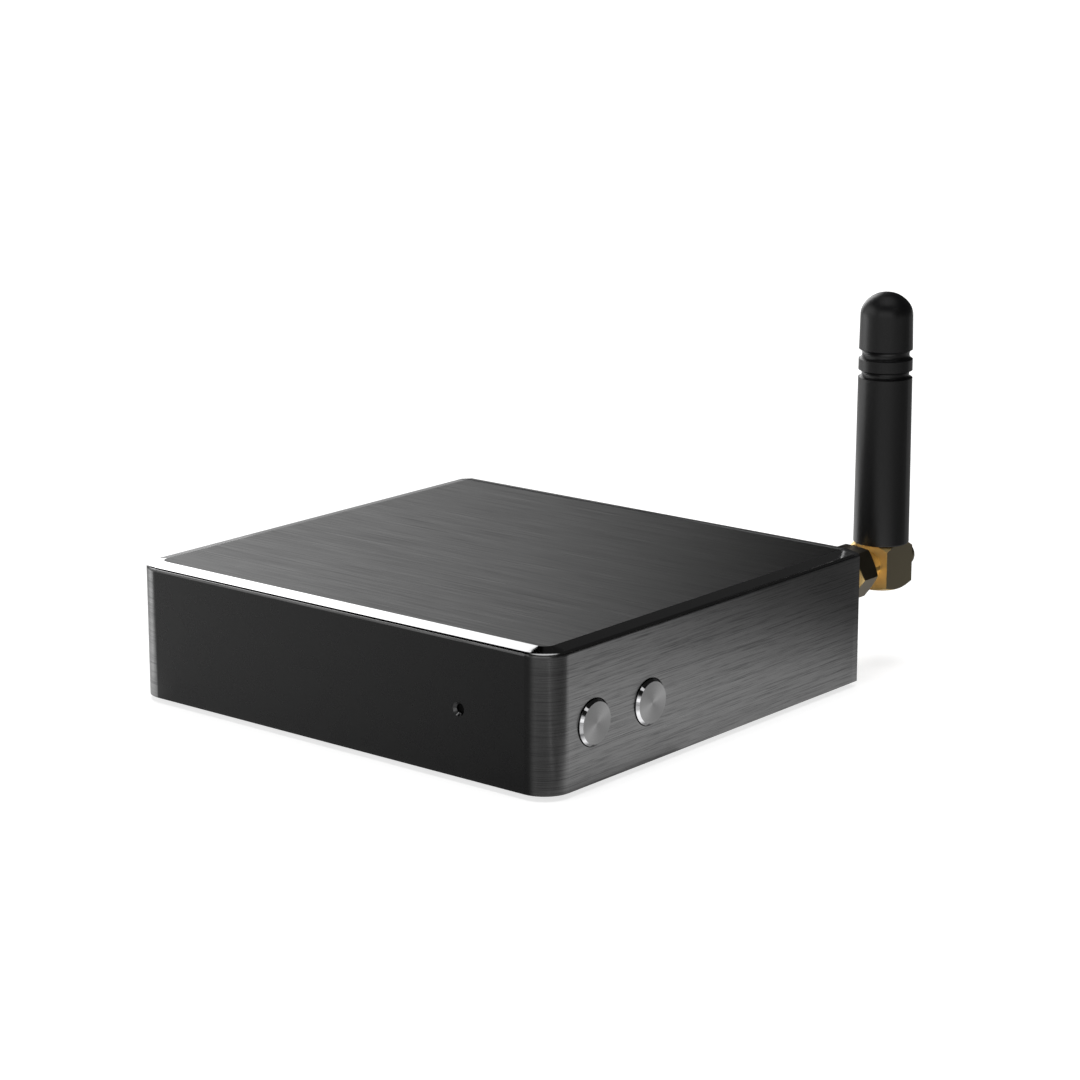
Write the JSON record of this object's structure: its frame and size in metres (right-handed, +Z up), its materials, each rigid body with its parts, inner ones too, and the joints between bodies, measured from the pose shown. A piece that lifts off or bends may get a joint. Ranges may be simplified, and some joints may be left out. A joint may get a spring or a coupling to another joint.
{
  "type": "network music streamer",
  "caption": "Flat box-shaped network music streamer with a bevelled brushed metal housing, round side push buttons, rear sockets and a stub aerial that swivels on a right-angle connector.",
  "frame": {"origin": "middle of the whole object's footprint, on the surface that the feet stand on", "axes": "+X to the right seen from the front, the side with the buttons; +Y to the back, towards the aerial; +Z up"},
  "size_m": [0.1007, 0.1178, 0.0733],
  "materials": {
    "anodised_black": "brushed top and sides, smooth front, bright bevel",
    "panel_metal": "satin black",
    "base_metal": "matt black",
    "button_metal": "spun face, polished rim",
    "screw_steel": "zinc plated",
    "foot_rubber": "matt",
    "aerial_rubber": "satin",
    "connector_brass": "polished, gilded",
    "contact_metal": "gilded",
    "socket_steel": "bright plated",
    "socket_plastic": "moulded black",
    "insulator_plastic": "white, waxy",
    "board_laminate": "green lacquer",
    "chip_plastic": "moulded black",
    "can_metal": "tin plated",
    "capacitor_metal": "satin sleeve",
    "spring_steel": "bright",
    "lead_plastic": "smooth",
    "pipe_plastic": "smoked clear",
    "lamp_plastic": "clear cast",
    "switch_plastic": "moulded",
    "plunger_plastic": "moulded"
  },
  "bodies": {
    "streamer": {"housing_shell": "anodised_black", "rear_panel": "panel_metal", "base_plate": "base_metal", "base_screws": "screw_steel", "rear_screws": "screw_steel", "board_screws": "screw_steel", "rubber_feet": "foot_rubber", "main_board": "board_laminate", "network_socket": "socket_plastic", "network_contacts": "contact_metal", "host_socket": "socket_steel", "host_tongue": "insulator_plastic", "power_socket": "socket_steel", "power_tongue": "socket_plastic", "digital_socket_body": "socket_plastic", "digital_socket_barrel": "connector_brass", "line_in_jack": "socket_plastic", "line_out_jack": "socket_plastic", "aerial_jack": "connector_brass", "jack_core": "insulator_plastic", "jack_washer": "connector_brass", "jack_nut": "connector_brass", "power_switch": "switch_plastic", "pairing_switch": "switch_plastic", "light_pipe": "pipe_plastic", "status_lamp": "lamp_plastic", "radio_board": "board_laminate", "screening_can": "can_metal", "lead_plug": "contact_metal", "aerial_lead": "lead_plastic", "processor": "chip_plastic", "audio_converter": "chip_plastic", "memory_chip": "chip_plastic", "network_transformer": "chip_plastic", "power_coils": "chip_plastic", "capacitors": "capacitor_metal", "clock_crystal": "can_metal"},
    "power_button": {"power_button": "button_metal", "power_plunger": "plunger_plastic"},
    "pairing_button": {"pairing_button": "button_metal", "pairing_plunger": "plunger_plastic"},
    "coupling_nut": {"coupling_nut": "connector_brass"},
    "aerial": {"aerial_elbow": "connector_brass", "elbow_cap": "connector_brass", "retaining_ring": "spring_steel", "contact_pin": "contact_metal", "pin_insulator": "insulator_plastic", "radiator": "contact_metal", "aerial_sleeve": "aerial_rubber"}
  },
  "joints": [
    {"name": "power_press", "type": "slide", "parent": "streamer", "child": "power_button", "axis": [-1, 0, 0], "range_m": [0, 0.0005], "stiffness_N_per_m": 1200, "springref_m": -0.0005},
    {"name": "pairing_press", "type": "slide", "parent": "streamer", "child": "pairing_button", "axis": [-1, 0, 0], "range_m": [0, 0.0005], "stiffness_N_per_m": 1200, "springref_m": -0.0005},
    {"name": "nut_turn", "type": "hinge", "parent": "streamer", "child": "coupling_nut", "pos_m": [0.044, 0.0362, 0.0204], "axis": [0, 1, 0], "continuous": true},
    {"name": "aerial_swivel", "type": "hinge", "parent": "streamer", "child": "aerial", "pos_m": [0.044, 0.0499, 0.0204], "axis": [0, 1, 0], "continuous": true}
  ]
}
